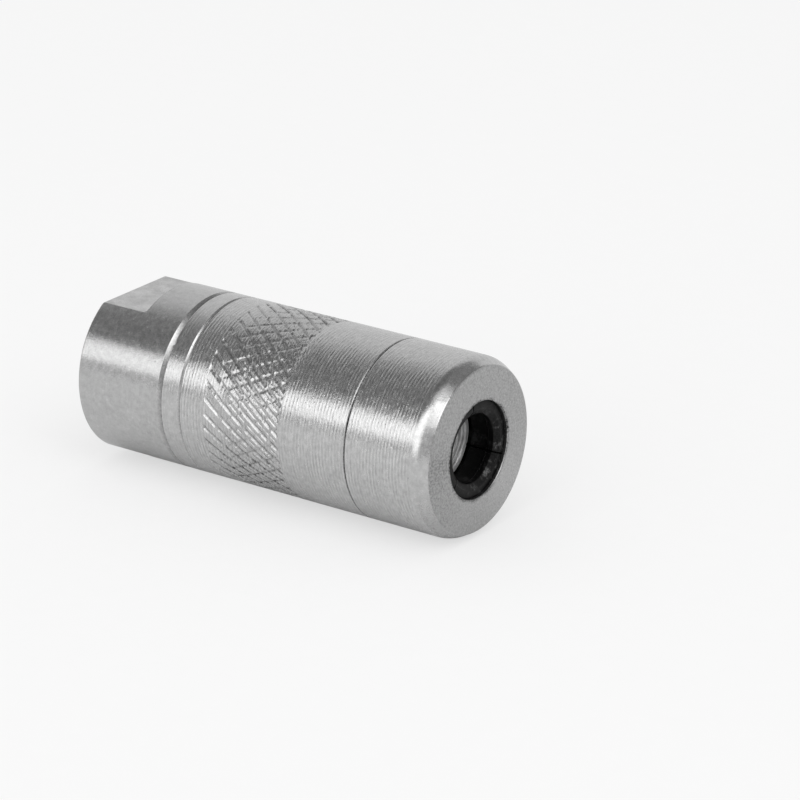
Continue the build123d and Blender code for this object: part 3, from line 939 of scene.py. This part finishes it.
def nose_cap():
    corners = section("nose_cap")
    shoulder = max(corners[corners[:, 1] > BARREL_RADIUS - SECTION_SNAP], key=lambda point: point[0])
    face = corners[corners[:, 0] > NOSE_FACE - SECTION_SNAP]
    rim = max(face, key=lambda point: point[1])
    mouth = min(face, key=lambda point: point[1])
    face_box = (NOSE_FACE - HAIR, mouth[1]), (NOSE_FACE + HAIR, mouth[1] + FACE_BAND)
    wall_box = (NOSE_FACE - MOUTH_WEAR_DEPTH, 0), (NOSE_FACE, mouth[1] + HAIR)
    lip_box = (SEAM_FRONT, BARREL_RADIUS - CLEAR), (SEAM_FRONT + SEAM_REACH, OUTSIDE)
    outline = eased(corners, NOSE_EDGE, rounder=[(shoulder, NOSE_SHOULDER), (rim, NOSE_RIM)])
    outline = divided(outline, *face_box, FACE_STEP)
    outline = divided(outline, *wall_box, LIP_STEP, bore=True)
    outline = divided(outline, *lip_box, LIP_STEP)

    def worn(x, radius, angle):
        opened = MOUTH_WEAR * np.clip((x - NOSE_FACE) / MOUTH_WEAR_DEPTH + 1, 0, 1)
        return radius - seam_dip(x, radius) + opened * (radius < mouth[1] + SECTION_SNAP)

    def dirt_and_shade(x, radius, moved, angle):
        # Dirt and painted shade in the front seam, the darker the deeper below the barrel
        seam = (x < SEAM_FRONT + SEAM_REACH) * np.clip((BARREL_RADIUS - moved) / SEAM_WEAR, 0, 1)
        # Painted shade over the mouth's bore behind its worn edge
        inside = (radius < mouth[1]) & (x < NOSE_FACE - MOUTH_WEAR_DEPTH + SECTION_SNAP)
        front = (x > NOSE_FACE - FACE_DEPTH) & ~inside
        uneven = 0.5 + 0.25 * np.sin(5 * angle + 1) + 0.25 * np.sin(13 * angle)
        near_mouth = 1 - ramp(radius, mouth[1], mouth[1] + SMEAR_WIDTH)
        smeared = (0.1 + 0.5 * uneven) * (1 - patches(angle, SMEAR_CLEAN)) * near_mouth
        under = patches(angle, SHOULDER_STAINS) * (x > shoulder[0])
        # The face: even dirt, the smear, a stain, and painted light that lightens the lower face
        darkening = front * (FACE_DIRT + smeared + patches(angle, FACE_STAIN_AND_PAINTED_LIGHT))
        return np.clip(0.85 * seam + 1.7 * inside + under + darkening, 0, 1.7)

    piece = lathe("nose_cap", outline, even_angles(), worn, None, dirt_and_shade)
    fade = (shoulder[0] - SHOULDER_FADE[0], shoulder[0] - SHOULDER_FADE[1], 1.0, 0.12)
    finished(piece, "zinc_plated_steel", plated_steel("plated_cap", fade=fade))


inlet_body()
sleeve()
nose_cap()

# Piston group and check valve

bright = bright_steel("turned_bright")
rubber = moulded("nitrile", (0.022, 0.022, 0.023, 1), 0.55, 4e-6)
plastic = moulded("white_plastic", (0.74, 0.73, 0.69, 1), 0.45, 2e-6)
wire = wire_steel("spring_wire", 0.4, 0.3)
ball_steel = wire_steel("ball_polished", 0.62, 0.08)

# The turned pieces: solid, slot, material, and in mm how far the edges are rounded
TURNED = (
    ("piston", "bright_steel", bright, 0.05),
    ("packing_ring", "bright_steel", bright, 0.04),
    ("spring_washer", "bright_steel", bright, 0.08),
    ("packing", "nitrile_rubber", rubber, 0.1),
    ("jaw_spreader", "nitrile_rubber", rubber, 0.12),
    ("piston_backup_ring", "backup_plastic", plastic, 0.06),
)
FRONT_BOX = (DISC_FACE - HAIR, 0), (DISC_FACE + HAIR, BARREL_RADIUS)


def with_rings(points):
    """Cuts the shallow rings in the bright front of the piston and its packing ring."""
    x, y, z = np.moveaxis(points, -1, 0)
    away = np.min([np.abs(np.hypot(y, z) - ring) for ring in DISC_RINGS], axis=0)
    groove = DISC_RING_DEPTH * np.clip(1 - away / DISC_RING_WIDTH, 0, 1) * (x > DISC_FACE - HAIR)
    return np.stack([x - groove, y, z], -1)


for name, slot, material, edge in TURNED:
    outline = divided(eased(section(name), edge * MM), *FRONT_BOX, LIP_STEP)
    finished(lathe(name, outline, even_angles(SMALL_SEGMENTS), mill=with_rings), slot, material)


def o_ring(node):
    low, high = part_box(node)
    wire_radius = (high.x - low.x) / 2
    middle = Vector(((low.x + high.x) / 2, high.y - wire_radius))
    around = even_angles(24)
    circle = [middle.x + wire_radius * np.cos(around), middle.y + wire_radius * np.sin(around)]
    return lathe(node, np.stack(circle, 1), even_angles(144))


finished(o_ring("piston_o_ring"), "nitrile_rubber", rubber)


def spring(node, diameter, turns, closed):
    """A compression spring about X, its end turns closed up and its ends ground flat."""
    low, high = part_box(node)
    length, coil_radius = high.x - low.x, high.z - diameter / 2
    steps = COIL_STEPS * round(turns)
    along = np.linspace(0, 1, steps + 1) * turns
    end_rise = diameter * closed
    middle_rise = (length - 2 * end_rise) / (turns - 2 * closed)
    rise = np.where(along < closed, along * diameter, end_rise + (along - closed) * middle_rise)
    rise = np.where(along > turns - closed, length - (turns - along) * diameter, rise)
    angle = along * TURN
    centre = np.stack([low.x + rise, coil_radius * np.cos(angle), coil_radius * np.sin(angle)], 1)
    out = np.stack([np.zeros_like(angle), np.cos(angle), np.sin(angle)], 1)
    ahead = np.gradient(centre, axis=0)
    ahead /= np.linalg.norm(ahead, axis=1, keepdims=True)
    side = np.cross(ahead, out)
    around = even_angles(WIRE_SIDES)[None, :, None]
    around_wire = out[:, None] * np.cos(around) + side[:, None] * np.sin(around)
    points = centre[:, None] + diameter / 2 * around_wire
    points[..., 0] = np.clip(points[..., 0], low.x, high.x)
    index = np.arange((steps + 1) * WIRE_SIDES).reshape(steps + 1, WIRE_SIDES)
    first, last = index[:-1], index[1:]
    walls = np.stack([first, last, np.roll(last, -1, 1), np.roll(first, -1, 1)], -1)
    return capped_piece(node, points, walls, (index[0], index[-1, ::-1]), False)


def squeezed(piece, node):
    """Gives a spring its own copy of its mesh when a joint presses it."""
    for joint in frame["joints"]:
        for held in joint.get("deforming_nodes", []):
            if held["node"] == node:
                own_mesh(piece)


for name, sizes in (("main_spring", MAIN_SPRING), ("check_spring", CHECK_SPRING)):
    squeezed(finished(spring(name, **sizes), "spring_steel", wire), name)


def check_ball():
    low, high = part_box("check_ball")
    mesh = bpy.data.meshes.new("check_ball_detail")
    shape = bmesh.new()
    bmesh.ops.create_icosphere(shape, subdivisions=5, radius=(high.x - low.x) / 2)
    bmesh.ops.translate(shape, vec=(low + high) / 2, verts=shape.verts)
    shape.to_mesh(mesh)
    shape.free()
    mesh.polygons.foreach_set("use_smooth", np.ones(len(mesh.polygons), bool))
    return placed("check_ball", mesh)


finished(check_ball(), "ball_steel", ball_steel)


def check_retainer():
    """The ported disc, as a filled outline with rounded rims."""
    low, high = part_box("check_retainer")
    curve = bpy.data.curves.new("check_retainer_outline", "CURVE")
    curve.dimensions = "2D"
    curve.fill_mode = "BOTH"
    curve.extrude = (high.x - low.x) / 2 - RETAINER_RIM
    curve.bevel_depth = RETAINER_RIM
    curve.bevel_resolution = 2
    curve.offset = -RETAINER_RIM
    rings = [(0, 0, high.y, 96), (0, 0, RETAINER_HOLE, 48)]
    for turn in even_angles(PORT_COUNT):
        rings.append((PORT_CIRCLE * math.cos(turn), PORT_CIRCLE * math.sin(turn), PORT_RADIUS, 32))
    for y, z, radius, count in rings:
        spline = curve.splines.new("POLY")
        spline.points.add(count - 1)
        for point, angle in zip(spline.points, even_angles(count)):
            point.co = (y + radius * math.cos(angle), z + radius * math.sin(angle), 0, 1)
        spline.use_cyclic_u = True
    holder = bpy.data.objects.new("check_retainer_outline", curve)
    mesh = bpy.data.meshes.new_from_object(holder)
    mesh.name = "check_retainer_detail"
    bpy.data.objects.remove(holder)
    upright = Matrix(((0, 0, 1), (1, 0, 0), (0, 1, 0))).to_4x4()
    mesh.transform(Matrix.Translation(((low.x + high.x) / 2, 0, 0)) @ upright)
    return placed("check_retainer", mesh)


finished(check_retainer(), "bright_steel", bright)

# Jaws

def jaw(number):
    """One sawn segment of a turned ring: an arc of the ring's outline between two flat cuts."""
    node = f"jaw_{number}"
    joint = next(joint for joint in frame["joints"] if joint["name"] == f"{node}_slide")
    middle = math.atan2(-joint["axis"][1], joint["axis"][2])
    outline = eased(section(node, middle), JAW_EDGE, 3)
    half = TURN / JAW_COUNT / 2 - np.arcsin(JAW_KERF / 2 / outline[:, 1:])
    angle = middle + half * np.linspace(-1, 1, JAW_STEPS + 1)
    radius = outline[:, 1:]
    x = np.repeat(outline[:, :1], JAW_STEPS + 1, 1)
    points = np.stack([x, -radius * np.sin(angle), radius * np.cos(angle)], -1)
    index = np.arange(x.size).reshape(x.shape)
    here, down = index[:, :-1], np.roll(index, -1, 0)[:, :-1]
    walls = np.stack([here, down, down + 1, here + 1], -1)
    piece = capped_piece(node, points, walls, (index[::-1, 0], index[:, -1]), True)
    edges = piece.modifiers.new("sawn_edges", "BEVEL")
    edges.width = SAWN_EDGE
    edges.segments = 2
    edges.limit_method = "ANGLE"
    edges.angle_limit = math.radians(50)
    even = piece.modifiers.new("even_faces", "WEIGHTED_NORMAL")
    even.keep_sharp = True
    return piece


oxide = black_oxide("oxide_black")
for number in range(1, JAW_COUNT + 1):
    finished(jaw(number), "black_oxide_steel", oxide)


# Camera

camera_data = bpy.data.cameras.new("camera")
camera_data.lens = LENS
camera_data.clip_start = 0.01
camera = new_object("camera", camera_data)
look = CAMERA_LOOK.normalized()
right = look.cross(CAMERA_UP).normalized()
up = right.cross(look)
camera.matrix_world = Matrix.Translation(CAMERA_PLACE) @ Matrix((right, up, -look)).transposed().to_4x4()
bpy.context.scene.camera = camera

# Studio: four softboxes, walls and a ceiling that only reflections show, and a white floor and
# surroundings

side = Vector((right.x, right.y, 0)).normalized()
ahead = Vector((look.x, look.y, 0)).normalized()
middle = Vector(((INLET_FACE + NOSE_FACE) / 2, 0, 0))


def studio(rightward, forward, upward):
    """A point in the studio, by its direction from the camera's view and its distance."""
    return middle + side * rightward + ahead * forward + Vector((0, 0, upward))


def facing(place, target):
    """A placement at place that looks at target, with its X axis level."""
    back = (place - target).normalized()
    across = Vector((0, 0, 1)).cross(back).normalized()
    return Matrix.Translation(place) @ Matrix((across, back.cross(across), back)).transposed().to_4x4()


def softbox(name, place, width, height, radiance):
    """An area lamp of this width, height and radiance, aimed at the object."""
    light = bpy.data.lights.new(name, "AREA")
    light.shape = "RECTANGLE"
    light.size, light.size_y = width, height
    light.energy = radiance * width * height * math.pi
    lamp = new_object(name, light)
    lamp.matrix_world = facing(place, middle)
    lamp.visible_camera = False


def card(name, corners, shade):
    """A flat card of this grey that only reflections show, from its corners in the studio."""
    mesh = bpy.data.meshes.new(name)
    mesh.from_pydata([tuple(studio(*corner)) for corner in corners], [], [range(len(corners))])
    made, tree = new_material(name)
    shown(tree, node_of(tree, "Emission", {"Color": grey(shade), "Strength": 1.0}))
    mesh.materials.append(made)
    piece = new_object(name, mesh)
    piece.visible_camera = False
    piece.visible_diffuse = False
    piece.visible_shadow = False


def ceiling(name, left, right, left_front, right_front, shade):
    """A level card from the ceiling's rear edge to a slanting front edge."""
    near = [(left, CEILING_REAR, CEILING), (right, CEILING_REAR, CEILING)]
    card(name, near + [(right, right_front, CEILING), (left, left_front, CEILING)], shade)


def wall(name, start, end, bottom, top, shade):
    """An upright card between two places on the studio's floor."""
    card(name, [(*start, bottom), (*end, bottom), (*end, top), (*start, top)], shade)


for name, place, width, height, radiance in SOFTBOXES:
    softbox(name, studio(*place), width, height, radiance)
ceiling("ceiling_left", LEFT_WALL, CEILING_SPLIT, *CEILING_FRONTS[:2], 0.19)
ceiling("ceiling_right", CEILING_SPLIT, RIGHT_WALL, *CEILING_FRONTS[1:], 0.28)
wall("wall_left", (LEFT_WALL, LOW_WALL_END), (LEFT_WALL, FRONT_WALL), 0.0, CEILING, 0.15)
wall("wall_low", (LEFT_WALL, BACK_WALL), (LEFT_WALL, LOW_WALL_END), 0.0, 0.22, 0.64)
wall("wall_behind_camera", (LEFT_WALL, BACK_WALL), (RIGHT_WALL, BACK_WALL), 0.0, 0.75, 0.5)


def floor():
    half = FLOOR_SIZE / 2
    corners = [(-half, -half, 0), (half, -half, 0), (half, half, 0), (-half, half, 0)]
    mesh = bpy.data.meshes.new("floor")
    mesh.from_pydata(corners, [], [range(len(corners))])
    piece = new_object("floor", mesh)
    piece.location = (middle.x, 0, FLOOR_Z)
    made, tree = new_material("floor_paper")
    fibre = noise(tree, object_place(tree), size=2 * MM)
    paper = node_of(tree, "BsdfDiffuse", {"Color": blended(tree, fibre, grey(0.78), grey(0.80))})
    white = node_of(tree, "Emission", {"Color": grey(1.0), "Strength": 1.0})
    share = product(tree, seen_background(tree), 0.6)
    shown(tree, node_of(tree, "MixShader", {0: share, 1: paper.outputs[0], 2: white.outputs[0]}))
    mesh.materials.append(made)


def surroundings():
    """A white world, a little darker as a light than as a background."""
    world = bpy.data.worlds.new("studio")
    bpy.context.scene.world = world
    world.use_nodes = True
    tree = world.node_tree
    tree.nodes.clear()
    strength = added(tree, WORLD_LEVEL, (seen_background(tree), 1 - WORLD_LEVEL))
    shown(tree, node_of(tree, "Background", {"Color": grey(1.0), "Strength": strength}), "OutputWorld")


floor()
surroundings()

bpy.context.scene.view_settings.view_transform = "Standard"
